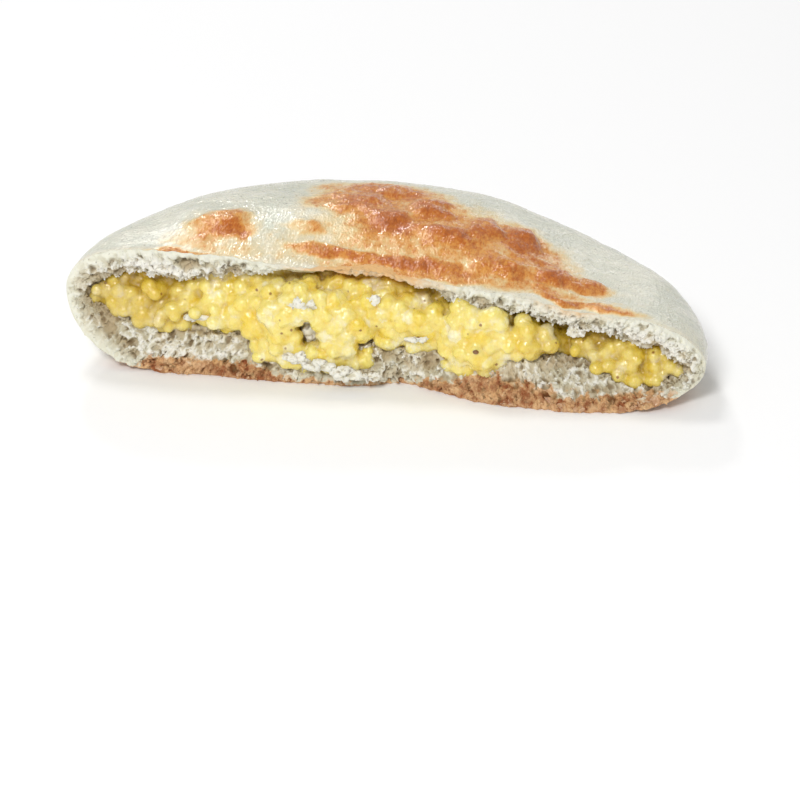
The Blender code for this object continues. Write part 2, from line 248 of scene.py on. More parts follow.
# The crust: pale skin over the whole outside, blistered and browned where the crown met the griddle.
crust = {
    "around": 520,
    "rings": 150,
    "wrinkle": 0.06,
    "lumps": 0.5,
    "browned": (  # x, y, half length, half depth, strength
        (-31.0, 10.5, 5.4, 5.0, 0.6), (-29.4, 8.8, 3.6, 2.4, 0.95), (-34.5, 5.5, 5.0, 3.0, 0.4),
        (-36.0, 0.4, 5.3, 1.2, 0.6), (-16.2, 12.2, 3.6, 1.6, 0.42), (-14.0, 11.2, 2.2, 1.5, 0.48),
        (-9.0, 25.0, 7.5, 7.0, 0.78), (-12.0, 15.5, 5.0, 5.0, 0.3), (-16.0, 8.6, 7.0, 3.0, 0.26),
        (-2.3, 18.0, 5.4, 5.0, 0.98), (-6.0, 33.5, 9.0, 6.0, 0.8), (4.0, 26.0, 4.6, 6.5, 0.9),
        (7.8, 15.8, 6.0, 3.8, 0.95), (14.5, 22.0, 3.6, 6.5, 0.9), (20.7, 23.0, 4.2, 6.0, 0.98),
        (-1.0, 23.0, 12.0, 10.0, 0.56), (11.0, 20.5, 11.0, 9.0, 0.6), (1.3, 11.6, 15.0, 3.6, 0.46),
        (-21.0, 5.5, 9.0, 5.0, 0.26), (-28.0, 4.5, 9.0, 4.0, 0.28),
        (14.0, 12.0, 10.0, 4.0, 0.6), (22.0, 15.5, 8.0, 5.0, 0.56), (-10.3, 6.3, 7.5, 1.5, 0.82),
        (2.0, 6.5, 9.0, 2.0, 1.0), (10.5, 6.0, 6.0, 2.0, 0.8), (-2.0, 3.4, 12.0, 2.2, 0.55),
        (11.0, 3.6, 9.0, 2.0, 0.55), (18.7, 9.6, 5.4, 3.4, 0.8), (27.3, 11.6, 4.2, 2.9, 1.0),
        (33.0, 12.0, 4.6, 3.0, 0.75), (25.0, 6.2, 8.0, 2.4, 0.56), (24.0, 16.2, 5.4, 1.6, 0.74),
        (26.0, 20.0, 4.6, 6.0, 0.42),
        (30.0, 3.4, 5.0, 1.1, 0.82), (38.5, 3.8, 5.0, 1.6, 0.76),
    ),
    "blisters": (  # x, y, half length, half depth, height
        (-31.0, 11.5, 5.4, 5.8, 0.9), (-9.0, 25.0, 7.0, 7.5, 0.8), (-2.6, 19.5, 5.0, 4.8, 0.5),
        (4.0, 27.0, 4.6, 6.6, 0.9), (7.8, 16.2, 5.6, 4.2, 0.8), (14.5, 22.8, 3.6, 6.6, 1.0),
        (20.8, 23.8, 4.2, 5.8, 1.0), (-15.5, 12.2, 3.6, 2.8, 0.5), (-9.5, 6.6, 8.0, 2.2, 0.4),
        (3.0, 6.8, 9.0, 2.8, 0.5), (18.7, 10.0, 6.0, 4.2, 0.7), (27.3, 12.0, 4.6, 3.6, 0.8),
        (34.0, 12.6, 4.6, 3.4, 0.6), (30.0, 3.6, 5.4, 1.8, 0.3), (38.5, 4.0, 5.4, 2.4, 0.4),
        (-5.0, 35.0, 6.0, 6.0, 0.5),
    ),
    "crater": (20.0, 9.8, 1.3, 0.8),
    "skew": 0.22,  # how much browner the right front of each patch is, which is painted shade as from a light at the upper left; blisters rise higher there too
    "rise": 1.3,
}


def ovals(x, y, patches):
    # how far inside each oval a place is, 1 at its middle and under 0 outside
    for cx, cy, rx, ry, strength in patches:
        a, b = (x - cx) / rx, (y - cy) / ry
        # the strength grows towards each oval's right front: on browned patches this is painted shade
        yield 1 - a * a - b * b, strength * (1 + crust["skew"] * np.clip(0.7 * a - 0.7 * b, -1, 1))


def reliefOfCrust(places, upper):
    # height above the plain skin, and how browned it is there, with painted shade on each patch's right front
    flats = [Vector((x, y, z * 0.5)) for x, y, z in places]
    warp = [noise.noise_vector(flat / 4.4) * 1.9 + noise.noise_vector(flat / 1.3) * 0.5 for flat in flats]
    warp = np.array(warp)
    x, y = places[:, 0] + warp[:, 0], places[:, 1] + warp[:, 1]
    browned, height = np.zeros(len(x)), np.zeros(len(x))
    for inside, strength in ovals(x, y, crust["browned"]):
        browned = np.maximum(browned, strength * np.exp(-(np.maximum(0, 1 - inside) ** 1.5) * 0.5))
    browned = np.where(browned > 0.02, browned, 0) * upper
    for inside, rise in ovals(x, y, crust["blisters"]):
        height += crust["rise"] * upper * rise * np.maximum(0, inside) ** 1.3
    height += crust["lumps"] * browned * np.array([fractal(flat, 2.7, 2) for flat in flats])
    craterX, craterY, run, deep = crust["crater"]
    away = np.hypot(places[:, 0] - craterX, (places[:, 1] - craterY) * 1.2) / run
    height += deep * upper * (0.5 * np.exp(-((away - 1.2) ** 2) * 6) - np.exp(-(away**2) * 2))
    fine = [1 - 2 * abs(noise.noise(Vector((a / 1.5, b / 0.9, c / 1.2)))) for a, b, c in places]
    height += crust["wrinkle"] * (np.array(fine) + [fractal(flat, 0.9) for flat in flats])
    return height + 0.25 * np.array([fractal(flat, 9.0, 2) for flat in flats]), browned


def makeCrust(material):
    count = crust["around"]
    rings = []
    for k in range(crust["rings"]):
        rings.append(crustRow(loaf["radius"] * math.sin(math.pi / 2 * k / crust["rings"]), count))
    back = np.tile([0, loaf["radius"], noseHeight(0)], (count, 1))
    edge = rings[0]
    middle = np.stack([edge[:, 0] * 0.97, edge[:, 1], np.full(count, 0.0)], 1)
    middle[:, 2] = (pocketRoof(middle[:, 0], 0) + pocketFloor(middle[:, 0], 0)) / 2
    inward = middle - edge
    inward /= np.linalg.norm(inward, axis=1)[:, None] + 1e-9
    folded = [edge + inward * tear["skin"] * 3 + [0, 1.8, 0], edge + inward * tear["skin"] + [0, 0.5, 0]]
    rows = folded + rings + [back]
    bm = gridOn(rows)
    toast = bm.verts.layers.float.new("browned")
    under = bm.verts.layers.float.new("under")
    rimLayer = bm.verts.layers.float.new("rim")
    places = np.array([vert.co for vert in bm.verts])
    upper = smoothStep((places[:, 2] - noseHeight(places[:, 0])) / 3.0 + 0.4)
    fromRim = nearest(edge, places)
    height, browned = reliefOfCrust(places, upper)
    height *= smoothStep(fromRim / 1.4)
    low = smoothStep((7.0 - places[:, 2]) / 7.0)
    rim = 1 - smoothStep(fromRim / 2.4)
    for vert, rise, *values in zip(bm.verts, height, browned, low, rim):
        vert[toast], vert[under], vert[rimLayer] = values
        vert.co += vert.normal * rise
        vert.co.z = max(vert.co.z, floorGap)
    return finished("crust", bm, material, "bread")


# The torn crumb between the crust's edge and the filling: threads and pores, ragged over the filling.
crumb = {
    "around": 1240,
    "faceRows": 38,
    "pocketRows": 28,
    "pocketDepth": 11.0,
    "swell": (0.8, 0.4),  # how far it stands forward, above and below the filling
    "drawnIn": 0.6,  # how far the mouth's edge is torn back
    "threads": ((3.2, 0.9), (1.3, 0.45)),  # size, height
    "rough": (1.3, 0.5, 0.5),  # size, height, smoothness
    "pulled": (1.0, 0.35),  # size, how far sideways
    "teeth": 0.7,
    "pores": ((2.6, 0.34, 0.3), (1.2, 0.42, 0.4), (0.8, 0.42, 0.35)),  # spacing, radius share, how many
    "hollows": (  # x, z, half width, half height, depth
        (-33.5, 20.6, 3.0, 1.7, 1.7), (-25.6, 20.0, 1.8, 1.3, 1.1), (9.0, 18.0, 3.4, 1.4, 1.3),
        (17.0, 17.2, 2.0, 1.0, 0.9), (38.0, 14.6, 1.2, 1.0, 0.7), (-48.5, 8.5, 1.6, 3.0, 1.2),
        (-45.0, 5.0, 2.4, 1.0, 0.8), (47.0, 10.0, 1.6, 2.4, 0.9), (-18.0, 6.2, 1.8, 1.6, 0.9),
        (8.6, 5.4, 1.4, 1.8, 1.1), (1.0, 5.6, 1.6, 1.4, 0.8), (-3.0, 6.0, 1.2, 1.0, 0.6),
    ),
    "toasted": (
        (-56, 0.2), (-46, 0.6), (-40, 2.8), (-24, 3.0), (-16, 1.0), (4, 0.6), (10, 2.2), (18, 4.4), (25, 4.0),
        (32, 2.4), (50, 2.6), (56, 1.0),
    ),
    "rolled": (-43.0, 6.0),  # the left end's skin rolls over the edge: x, run
    "rimWide": (0.8, 1.9),  # how far the relief takes to grow from the rim, and more at the rolled end
    "golden": ((-3.0, 11.0, 0.8), (0.0, 28.0, 0.2), (33.0, 9.0, 0.4)),  # gilded lip: x, run, strength
    "tufts": 5000,
    "tuft": (0.1, 0.27),  # radius
    "underSkin": 0.9,  # how far below the skin the shreds stay
    "bitDetail": 5,
    "bits": (  # crumb stuck to the filling: x, y, z, half sizes
        (-13.3, -1.9, 15.0, 2.4, 0.8, 1.1), (-12.2, 1.2, 9.4, 2.6, 1.2, 3.0),
        (-1.7, -0.3, 16.2, 1.0, 0.6, 0.7), (-14.5, -3.0, 5.6, 2.2, 0.7, 1.0),
        (-10.5, -3.4, 4.4, 2.8, 0.8, 1.0), (-6.0, -3.6, 3.4, 2.8, 0.8, 0.9), (-2.0, -3.0, 2.9, 2.0, 0.8, 0.8),
        (6.5, -0.6, 9.4, 2.0, 0.6, 0.7), (-33.0, 0.4, 10.2, 1.8, 0.7, 0.8), (33.5, 1.4, 12.4, 1.2, 0.8, 1.0),
    ),
}


def poresAt(point):
    # depth carves the pore; the second value darkens it as painted shade
    depth, poreShade = 0.0, 0.0
    for spacing, share, many in crumb["pores"]:
        stretched = Vector((point.x, point.y, point.z * (0.8 if point.z > 4 else 0.6))) / spacing
        distances, centres = noise.voronoi(stretched)
        if noise.cell(centres[0] * 7.31) * 0.5 + 0.5 > many:
            continue
        size = share * (0.6 + 0.5 * abs(noise.cell(centres[0] * 3.17)))
        inside = 1 - (distances[0] / size) ** 2
        if inside > 0:
            depth = max(depth, math.sqrt(inside) * size * spacing * 1.2)
            poreShade = max(poreShade, inside**0.5)
    return depth, poreShade


def crumbRows(count):
    outer = crustRow(0.0, count)
    half = loaf["radius"] - pocket["endWall"]
    mouth = section(pocket["mouthBack"], half, pocketRoof, pocketFloor, count)
    inner = section(pocket["mouthBack"] + crumb["pocketDepth"], half * 0.985, pocketRoof, pocketFloor, count)
    middle = (pocketRoof(mouth[:, 0], 0) + pocketFloor(mouth[:, 0], 0)) / 2
    upper = smoothStep((mouth[:, 2] - middle) / 2 + 0.5)
    above, below = crumb["swell"]
    rows = []
    for k in range(crumb["faceRows"]):
        share = k / crumb["faceRows"]
        row = outer + (mouth - outer) * share
        bulge = math.sin(math.pi * share**0.6)
        row[:, 1] -= (below + (above - below) * upper) * bulge
        row[:, 2] += 0.04 * np.maximum(0, outer[:, 1] - 0.8) * upper * bulge
        rows.append(row)
    for k in range(crumb["pocketRows"]):
        rows.append(mouth + (inner - mouth) * k / (crumb["pocketRows"] - 1))
    rows = np.array(rows)
    for _ in range(8):  # rounds the mouth's edge
        rows[1:-1] = rows[1:-1] * 0.5 + (rows[:-2] + rows[2:]) * 0.25
    closed = inner.copy()
    closed[:, 2] = (pocketRoof(inner[:, 0], inner[:, 1]) + pocketFloor(inner[:, 0], inner[:, 1])) / 2
    return [*rows, closed], outer, mouth


def addShreds(bm, names, shreds, draw):
    # shreds: place, lean, radius, stretch, values of the layers
    for start in range(0, len(shreds), 150):
        lot = bmesh.new()
        layers = [lot.verts.layers.float.new(name) for name in names]
        for place, lean, radius, stretch, values in shreds[start : start + 150]:
            turn = Vector((0, 0, 1)).rotation_difference(lean).to_matrix().to_4x4()
            flat = draw.uniform(0.6, 1.0)
            shape = Matrix.Translation(place) @ turn @ Matrix.Diagonal((0.8, flat, stretch, 1))
            for vert in bmesh.ops.create_icosphere(lot, subdivisions=1, radius=radius, matrix=shape)["verts"]:
                vert.co += noise.noise_vector(vert.co / 0.4) * radius * 0.6
                vert.co.z = max(vert.co.z, floorGap)
                for layer, value in zip(layers, values):
                    vert[layer] = value
        pourInto(bm, lot)


def shredsOn(bm, layers, weights, draw):
    # small torn shreds standing on the crumb, most of them along its edges
    shreds = []
    for vert in draw.choices(list(bm.verts), weights=list(weights), k=crumb["tufts"]):
        if vert.co.z > roof(vert.co.x, max(vert.co.y, 0.0)) - crumb["underSkin"]:
            continue
        lean = (vert.normal * 0.5 + Vector([draw.gauss(0, 1) for _ in range(3)])).normalized()
        values = [vert[layer] for layer in layers]
        radius, stretch = draw.uniform(*crumb["tuft"]), draw.uniform(1.0, 2.2)
        shreds.append((vert.co.copy(), lean, radius, stretch, values))
    return shreds


def addBits(bm, layers):
    # lumps of crumb left on the filling
    for x, y, z, rx, ry, rz in crumb["bits"]:
        shape = Matrix.Translation((x, y, z)) @ Matrix.Diagonal((rx, ry, rz, 1))
        detail = crumb["bitDetail"]
        for vert in bmesh.ops.create_icosphere(bm, subdivisions=detail, radius=1.0, matrix=shape)["verts"]:
            out = (vert.co - Vector((x, y, z))).normalized()
            wide = 0.8 * fractal(vert.co, 2.4, 2)
            rise = 0.5 * fractal(vert.co, 1.1, 4, 0.5) + 0.5 * (ridges(vert.co, 1.2) - 0.5)
            depth, poreShade = poresAt(vert.co * 1.4)
            vert.co += out * (wide + rise - 0.4 * depth)
            vert.co.z = max(vert.co.z, floorGap)
            # the bits get painted light and shade from their own relief as well
            for layer, value in zip(layers, (poreShade, smoothStep(rise + 0.7), 0.0, 0.3, 0.0)):
                vert[layer] = value


def heightOfCrumb(points, warped, edgeOn):
    # threads, pores and larger hollows, and how deep in a pore each place is, which darkens pores as painted
    # shade
    size, high, smooth = crumb["rough"]
    height = high * np.array([fractal(point, size, 4, smooth) for point in points])
    for size, high in crumb["threads"]:
        height += high * (np.array([ridges(Vector(place), size) for place in warped]) - 0.5)
    teeth = np.array([fractal(point, 1.1, 4, 0.6) for point in points])
    height += edgeOn * (crumb["teeth"] * teeth - crumb["drawnIn"])
    pores = np.array([poresAt(Vector(place)) for place in warped])
    for hx, hz, rx, rz, deep in crumb["hollows"]:
        inside = np.maximum(0, 1 - ((warped[:, 0] - hx) / rx) ** 2 - ((warped[:, 2] - hz) / rz) ** 2)
        height -= deep * inside
    return height - pores[:, 0], pores[:, 1]


def makeCrumb(material):
    rows, outer, mouth = crumbRows(crumb["around"])
    bm = gridOn(list(rows))
    layers = [bm.verts.layers.float.new(name) for name in ("poreShade", "crestLight", "browned", "rim", "golden")]
    points = [vert.co.copy() for vert in bm.verts]
    places = np.array(points)
    warped = places + np.array([noise.noise_vector(point / 2.2) for point in points]) * 0.9
    fromRim, fromMouth = nearest(outer, places), nearest(mouth, places)
    x, z = places[:, 0], places[:, 2]
    lower = smoothStep((noseHeight(x) - z) / 2.0 + 0.5)
    upper = 1 - lower
    rollX, rollRun = crumb["rolled"]
    rolled = smoothStep((rollX - x) / rollRun)
    plain, more = crumb["rimWide"]
    rimWide = plain + more * rolled + upper * (0.5 * smoothStep((-22 - x) / 14) + 1.8 * hill(x + 3, 18))
    clear = smoothStep(fromRim / rimWide)
    edgeOn = np.exp(-(fromMouth**2))
    height, poreShade = heightOfCrumb(points, warped, edgeOn)
    edges = np.array([fractal(point, 1.4, 4) for point in points])
    band = smoothStep((eased(crumb["toasted"], warped[:, 0]) + 1.2 * edges - z) / 1.6 + 0.5)
    rim = 1 - smoothStep(fromRim / (2.6 + 1.4 * rolled + upper * 2.4 * hill(x + 6, 18)))
    golden = upper * rim * sum(strength * hill(x - lipX, run) for lipX, run, strength in crumb["golden"])
    toast = np.where(z < noseHeight(x), band, 0)
    # painted shade: darker on the lower crumb from the middle rightwards, and on the left wall away from the
    # rim
    shaded = 0.1 * lower * smoothStep((x + 34) / 12) + 0.25 * smoothStep((-44 - x) / 5) * (1 - rim)
    # painted light and shade from the relief: lighter on crests and on the upper crumb, darker in hollows
    crestLight = smoothStep(height / 1.6 + 0.5 - shaded + 0.14 * upper)
    push = height * clear * (1 - 0.6 * np.minimum(golden * 1.6, 1))
    size, far = crumb["pulled"]
    pulled = np.array([noise.noise_vector(point / size) for point in points]) * (far * clear)[:, None]
    for vert, side, rise, *values in zip(bm.verts, pulled, push, poreShade * clear, crestLight, toast, rim, golden):
        for layer, value in zip(layers, values):
            vert[layer] = value
        vert.co += vert.normal * rise + Vector(side)
        vert.co.z = max(vert.co.z, floorGap)
    inPocket = smoothStep(places[:, 1] - 1.6)
    weights = (0.3 + 1.6 * edgeOn + 0.8 * toast) * (0.04 + 0.96 * clear) * (1 - inPocket) * (0.3 + crestLight)
    draw = random.Random(11)
    shreds = shredsOn(bm, layers, weights, draw)
    loose = bmesh.new()
    names = [layer.name for layer in layers]
    addBits(loose, [loose.verts.layers.float.new(name) for name in names])
    addShreds(loose, names, shreds, draw)
    finished("shreds", loose, material)
    return finished("crumb", bm, material)


# The millet: grains pressed together in a sticky mass, more of them loose towards both ends.
millet = {
    "grain": (2.1, 3.2),
    "pitch": 2.05,
    "rowStep": 0.87,  # rows stand closer than the grains along them
    "jitter": 0.55,
    "missing": (0.04, 0.14),  # share of grains left out, and more of them at the left end
    "leftEnd": (-26.0, 10.0, 0.14),  # x, run, how much larger its grains are
    "sticky": (36.0, 14.0),  # how far from the middle the mass loosens, run
    "voxel": 0.29,
    "leastIsland": 100,  # points
    "tongues": (  # x, z, half width, half height, how far out
        (-13.2, 9.6, 10.4, 7.6, 2.6), (-8.2, 6.5, 5.6, 4.1, 2.4), (-17.0, 7.4, 6.0, 4.6, 2.0),
        (17.2, 9.6, 6.2, 7.2, 2.3), (15.0, 6.8, 4.0, 4.0, 2.2), (24.6, 10.6, 5.4, 2.9, 1.6),
    ),
    "gaps": ((-12.4, 9.4, 2.3, 2.9), (-3.6, 7.4, 2.2, 2.5)),
    "sunk": ((-54, 2.6), (-44, 1.4), (-34, 0.6), (-20, 0.4), (24, 0.4), (31, 2.0), (44, 0.5), (54, 2.0)),
    "underRoof": (
        (-54, 3.4), (-40, 3.0), (-22, 3.0), (-13, 5.6), (6, 6.6), (15, 4.4), (24, 5.4), (33, 4.6), (50, 1.8),
    ),
    "roofRun": 6.2,
    "mashed": ((3.4, 0.5), (1.1, 0.2), (0.5, 0.1)),  # size, height, where the grains are pressed together
    "seed": (17.2, 9.0, 0.55),  # x, z, radius of a dark seed
    # how far below the pocket's floor
    "lower": ((-54, 1.0), (-40, 0.5), (-34, 0.2), (36, 0.2), (42, 1.0), (54, 0.8)),
    "loose": (  # x, y, z, radius
        (-50.8, 1.0, 13.9, 1.25), (-39.4, -0.4, 9.4, 1.4), (-29.6, -0.6, 9.9, 1.5), (-36.6, -0.2, 10.6, 1.3),
        (-46.0, 1.2, 10.2, 1.35), (-33.0, -0.4, 11.4, 1.3), (37.3, -0.2, 6.3, 1.35), (33.4, 1.4, 8.6, 1.2),
        (44.2, 0.2, 4.2, 1.2), (47.6, 0.6, 4.4, 1.15), (41.0, 0.4, 4.9, 1.25), (-21.4, -1.6, 4.6, 1.5),
    ),
}


def frontOf(x, z):
    # where the filling's face stands at places along the tear, and which of the places are on it
    top, bottom = eased(pocket["roof"], x) + 0.3, eased(pocket["floor"], x) - eased(millet["lower"], x)
    half = loaf["radius"] - pocket["endWall"] + 0.2
    share = (z - (top + bottom) / 2) / ((top - bottom) / 2 * np.maximum(pocketShape(x, 0.0), 0.25))
    on = (np.abs(x) < half) & (np.abs(share) < 1)
    hung = eased(millet["underRoof"], x) * smoothStep(1 - (top - z) / millet["roofRun"])
    face = np.where(on, hung - 0.9 * (1 - share * share) + eased(millet["sunk"], x), 0.0)
    for tx, tz, rx, rz, out in millet["tongues"]:
        inside = 1 - ((x - tx) / rx) ** 2 - ((z - tz) / rz) ** 2
        hanging = -0.4 - out * np.maximum(0, inside) ** 0.5
        face = np.where((inside > 0) & (on | (z < tz)), np.minimum(face, hanging), face)
        on = on | (inside > 0)
    for gx, gz, rx, rz in millet["gaps"]:
        on = on & (((x - gx) / rx) ** 2 + ((z - gz) / rz) ** 2 > 1)
    return face, on


def addBall(bm, draw, place, radius, squash=(1, 1, 1)):
    way = Vector([draw.gauss(0, 1) for _ in range(3)])
    turn = Vector((0, 0, 1)).rotation_difference(way).to_matrix().to_4x4()
    shape = Matrix.Translation(place) @ turn @ Matrix.Diagonal((*squash, 1))
    bmesh.ops.create_icosphere(bm, subdivisions=2, radius=radius, matrix=shape)


def fits(place, radius):
    # whether a ball stays inside the loaf
    back = max(place.y, 0.0)
    return sole(place.x, back) + 0.9 < place.z - radius and place.z + radius < roof(place.x, back) - 0.8


def dropSpecks(bm, least):
    # islands with fewer points than least, which the voxels leave in tight gaps
    unseen = set(bm.verts)
    while unseen:
        island = [unseen.pop()]
        for vert in island:
            for edge in vert.link_edges:
                other = edge.other_vert(vert)
                if other in unseen:
                    unseen.remove(other)
                    island.append(other)
        if len(island) < least:
            bmesh.ops.delete(bm, geom=island, context="VERTS")


def addGrain(strand, draw, tints, x, z, face):
    # one grain of the face with what it sticks to behind it
    endX, run, larger = millet["leftEnd"]
    left = float(smoothStep((endX - x) / run))
    radius = draw.uniform(*millet["grain"]) / 2 * (1 + larger * left)
    looseX, run = millet["sticky"]
    sticky = float(smoothStep((looseX - abs(x + 2)) / run))
    face = float(face) + 0.9 * noise.noise(Vector((x, 0.5, z)) / 3.6)
    place = Vector((x, face + draw.uniform(-0.4, 0.4) * (2 - sticky) + radius * 0.6, z))
    missing, moreMissing = millet["missing"]
    if draw.random() > missing + moreMissing * left and fits(place, radius):
        addBall(strand, draw, place, radius, (1.0, draw.uniform(0.8, 1.0), draw.uniform(0.75, 1.0)))
        tints.append((place, draw.random()))
    behind = place + Vector((draw.uniform(-0.9, 0.9), 1.5, draw.uniform(-0.9, 0.9)))
    tints.append((behind, draw.random()))
    back = 1.2 - 0.6 * sticky + 0.8 * left
    glue = place + Vector((draw.uniform(-0.4, 0.4), back, draw.uniform(-0.4, 0.4)))
    fill = place + Vector((0, 4.0, -0.6))
    for middle, size in ((behind, radius * 1.15), (glue, 1.65 + 0.1 * sticky), (fill, 2.1)):
        if fits(middle, size):
            addBall(strand, draw, middle, size)


def heapOfGrains(draw, tints):
    heap = bmesh.new()
    pitch, jitter = millet["pitch"], millet["jitter"]
    rise = pitch * millet["rowStep"]
    for row in range(int(24 / rise)):
        strand = bmesh.new()
        for column in range(int(108 / pitch)):
            x = -54 + (column + 0.5 * (row % 2)) * pitch + draw.uniform(-jitter, jitter)
            z = 1.0 + row * rise + draw.uniform(-jitter, jitter)
            face, on = frontOf(x, z)
            if on:
                addGrain(strand, draw, tints, x, z, face)
        pourInto(heap, strand)
    for x, y, z, radius in millet["loose"]:
        tints.append((Vector((x, y, z)), draw.uniform(0.3, 0.9)))
        addBall(heap, draw, tints[-1][0], radius, (1.0, 0.9, 0.9))
    return heap


def stuckTogether(heap):
    # the grains become one skin, a little softened
    mesh = bpy.data.meshes.new("milletHeap")
    heap.to_mesh(mesh)
    heap.free()
    lump = bpy.data.objects.new("milletHeap", mesh)
    bpy.context.scene.collection.objects.link(lump)
    remesh = lump.modifiers.new("stuck", "REMESH")
    remesh.mode = "VOXEL"
    remesh.voxel_size = millet["voxel"]
    soft = lump.modifiers.new("soft", "SMOOTH")
    soft.factor = 0.5
    soft.iterations = 3
    bpy.context.view_layer.update()
    joined = bmesh.new()
    joined.from_mesh(lump.evaluated_get(bpy.context.evaluated_depsgraph_get()).to_mesh())
    bpy.data.objects.remove(lump)
    dropSpecks(joined, millet["leastIsland"])
    return joined


def addSeed(bm):
    # on the foremost point near its place
    seedX, seedZ, radius = millet["seed"]
    near = [vert.co.copy() for vert in bm.verts if math.hypot(vert.co.x - seedX, vert.co.z - seedZ) < 0.4]
    layer = bm.verts.layers.float.new("seed")
    place = min(near, key=lambda place: place.y)
    shape = Matrix.Translation(place) @ Matrix.Diagonal((1, 0.6, 0.75, 1))
    for vert in bmesh.ops.create_icosphere(bm, subdivisions=2, radius=radius, matrix=shape)["verts"]:
        vert[layer] = 1.0


def makeMillet(material):
    tints = []
    joined = stuckTogether(heapOfGrains(random.Random(7), tints))
    tree = kdtree.KDTree(len(tints))
    for i, (place, _) in enumerate(tints):
        tree.insert(place, i)
    tree.balance()
    tintLayer = joined.verts.layers.float.new("tint")
    deepShadeLayer = joined.verts.layers.float.new("deep")
    places = np.array([vert.co for vert in joined.verts])
    x, y, z = places.T
    # painted shade: darker, more saturated in crevices between grains, deeper in the pocket and towards both
    # ends
    creviceShade = smoothStep((y - frontOf(x, z)[0] - 0.3) / 2.2)
    ends = 0.36 * smoothStep((x - 22) / 6) + 0.5 * smoothStep((-30 - x) / 12)
    deep = 0.7 * creviceShade + 0.9 * smoothStep((y - 0.8) / 3.4) + ends
    mashed = 0.12 + 0.88 * smoothStep((26 - np.abs(x + 1)) / 10)
    for vert, sunk, soft in zip(joined.verts, deep, mashed):
        vert[deepShadeLayer] = sunk
        vert[tintLayer] = tints[tree.find(vert.co)[1]][1]
        uneven = sum(high * fractal(vert.co, size, 2) for size, high in millet["mashed"])
        vert.co += vert.normal * float(soft) * uneven
    addSeed(joined)
    return finished("filling", joined, material, "filling")


# Materials. A Wire is one socket of a material, and sums on it add the nodes.
class Wire:
    def __init__(self, paint, socket):
        self.paint = paint
        self.socket = socket

    def worked(self, operation, *values):
        return self.paint.add("Math", {"operation": operation}, dict(enumerate(values)))

    def __add__(self, other):
        return self.worked("ADD", self, other)

    def __radd__(self, other):
        return self.worked("ADD", other, self)

    def __sub__(self, other):
        return self.worked("SUBTRACT", self, other)

    def __rsub__(self, other):
        return self.worked("SUBTRACT", other, self)

    def __mul__(self, other):
        return self.worked("MULTIPLY", self, other)

    def __rmul__(self, other):
        return self.worked("MULTIPLY", other, self)

    def kept(self):
        return self.paint.add("Clamp", {}, {0: self})

    def ranged(self, low, high):
        # 0 below low, 1 above high, smooth between
        ends = {0: self, 1: low, 2: high, 3: 0.0, 4: 1.0}
        return self.paint.add("MapRange", {"interpolation_type": "SMOOTHSTEP"}, ends)


class Paint:
    def __init__(self, name, **fixed):
        self.material = bpy.data.materials.new(name)
        self.material.use_nodes = True
        self.tree = self.material.node_tree
        self.shader = self.tree.nodes["Principled BSDF"]
        for socket, value in fixed.items():
            self.shader.inputs[socket.replace("_", " ")].default_value = value
        self.place = self.add("TexCoord", {}, {}, "Object")

    def add(self, kind, settings, values, output=0):
        node = self.tree.nodes.new("ShaderNode" + kind)
        for name, value in settings.items():
            setattr(node, name, value)
        for key, value in values.items():
            if isinstance(value, Wire):
                self.tree.links.new(value.socket, node.inputs[key])
            else:
                node.inputs[key].default_value = value
        return Wire(self, node.outputs[output])

    def layer(self, name):
        return self.add("Attribute", {"attribute_name": name}, {}, "Fac")

    def noise(self, size, detail=3, roughness=0.55, at=None):
        # size in millimetres
        values = {"Vector": at or self.place, "Scale": 1 / (size * mm)}
        return self.add("TexNoise", {}, {**values, "Detail": detail, "Roughness": roughness}, "Fac")

    def cells(self, size):
        # how far from the middle of the nearest cell
        values = {"Vector": self.place, "Scale": 1 / (size * mm)}
        return self.add("TexVoronoi", {"feature": "F1"}, values, "Distance")

    def stretched(self, x, y, z):
        return self.add("Mapping", {}, {"Vector": self.place, "Scale": (x, y, z)})

    def mix(self, share, one, two):
        return self.add("Mix", {"data_type": "RGBA"}, {0: share, 6: one, 7: two}, 2)

    def finish(self, colour, roughness, bumps):
        # bumps: pairs of a height in millimetres and its wire
        self.tree.links.new(colour.socket, self.shader.inputs["Base Color"])
        self.tree.links.new(roughness.socket, self.shader.inputs["Roughness"])
        height = sum(wire * deep for deep, wire in bumps)
        bump = self.add("Bump", {}, {"Strength": 1.0, "Distance": mm, "Height": height}, "Normal")
        self.tree.links.new(bump.socket, self.shader.inputs["Normal"])
        return self.material


def tone(red, green, blue):
    # a colour as a painter reads it, 0 to 255, made linear
    return (*[((c / 255 + 0.055) / 1.055) ** 2.4 if c > 10 else c / 3294.6 for c in (red, green, blue)], 1.0)


